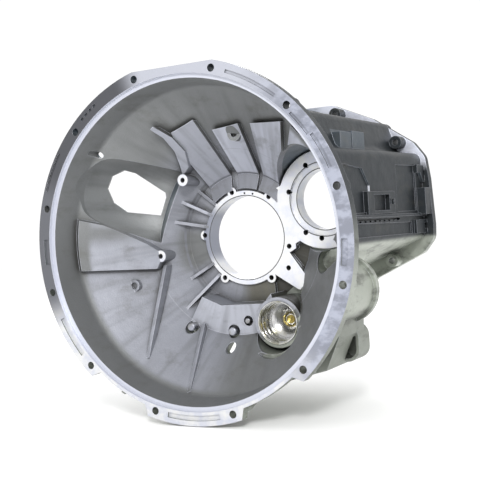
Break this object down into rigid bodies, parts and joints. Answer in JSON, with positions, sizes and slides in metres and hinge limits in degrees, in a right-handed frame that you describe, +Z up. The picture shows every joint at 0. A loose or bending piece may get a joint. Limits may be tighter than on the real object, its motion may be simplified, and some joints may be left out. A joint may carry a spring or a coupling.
{
  "type": "gearbox housing",
  "caption": "Cast aluminium clutch bell and gear case of a heavy truck gearbox, open at the back, with shaft bores, a clutch fork window and a side port.",
  "frame": {"origin": "centre of the bolt circle on the bell's mouth face, on the input shaft's axis", "axes": "+Y runs back along the input shaft, away from the engine; +Z is up; +X is to the right seen from the engine"},
  "size_m": [0.554, 0.4, 0.545],
  "materials": {
    "cast_aluminium": "as cast, with milled faces",
    "polished_steel": "polished bore",
    "brass": "turned",
    "plug_steel": "plain"
  },
  "bodies": {
    "root": {"housing": "cast_aluminium", "bearing_sleeve": "polished_steel", "sleeve_cap": "polished_steel", "nozzle": "brass", "gallery_plug_1": "plug_steel", "gallery_plug_2": "plug_steel", "gallery_plug_3": "plug_steel"}
  },
  "joints": []
}
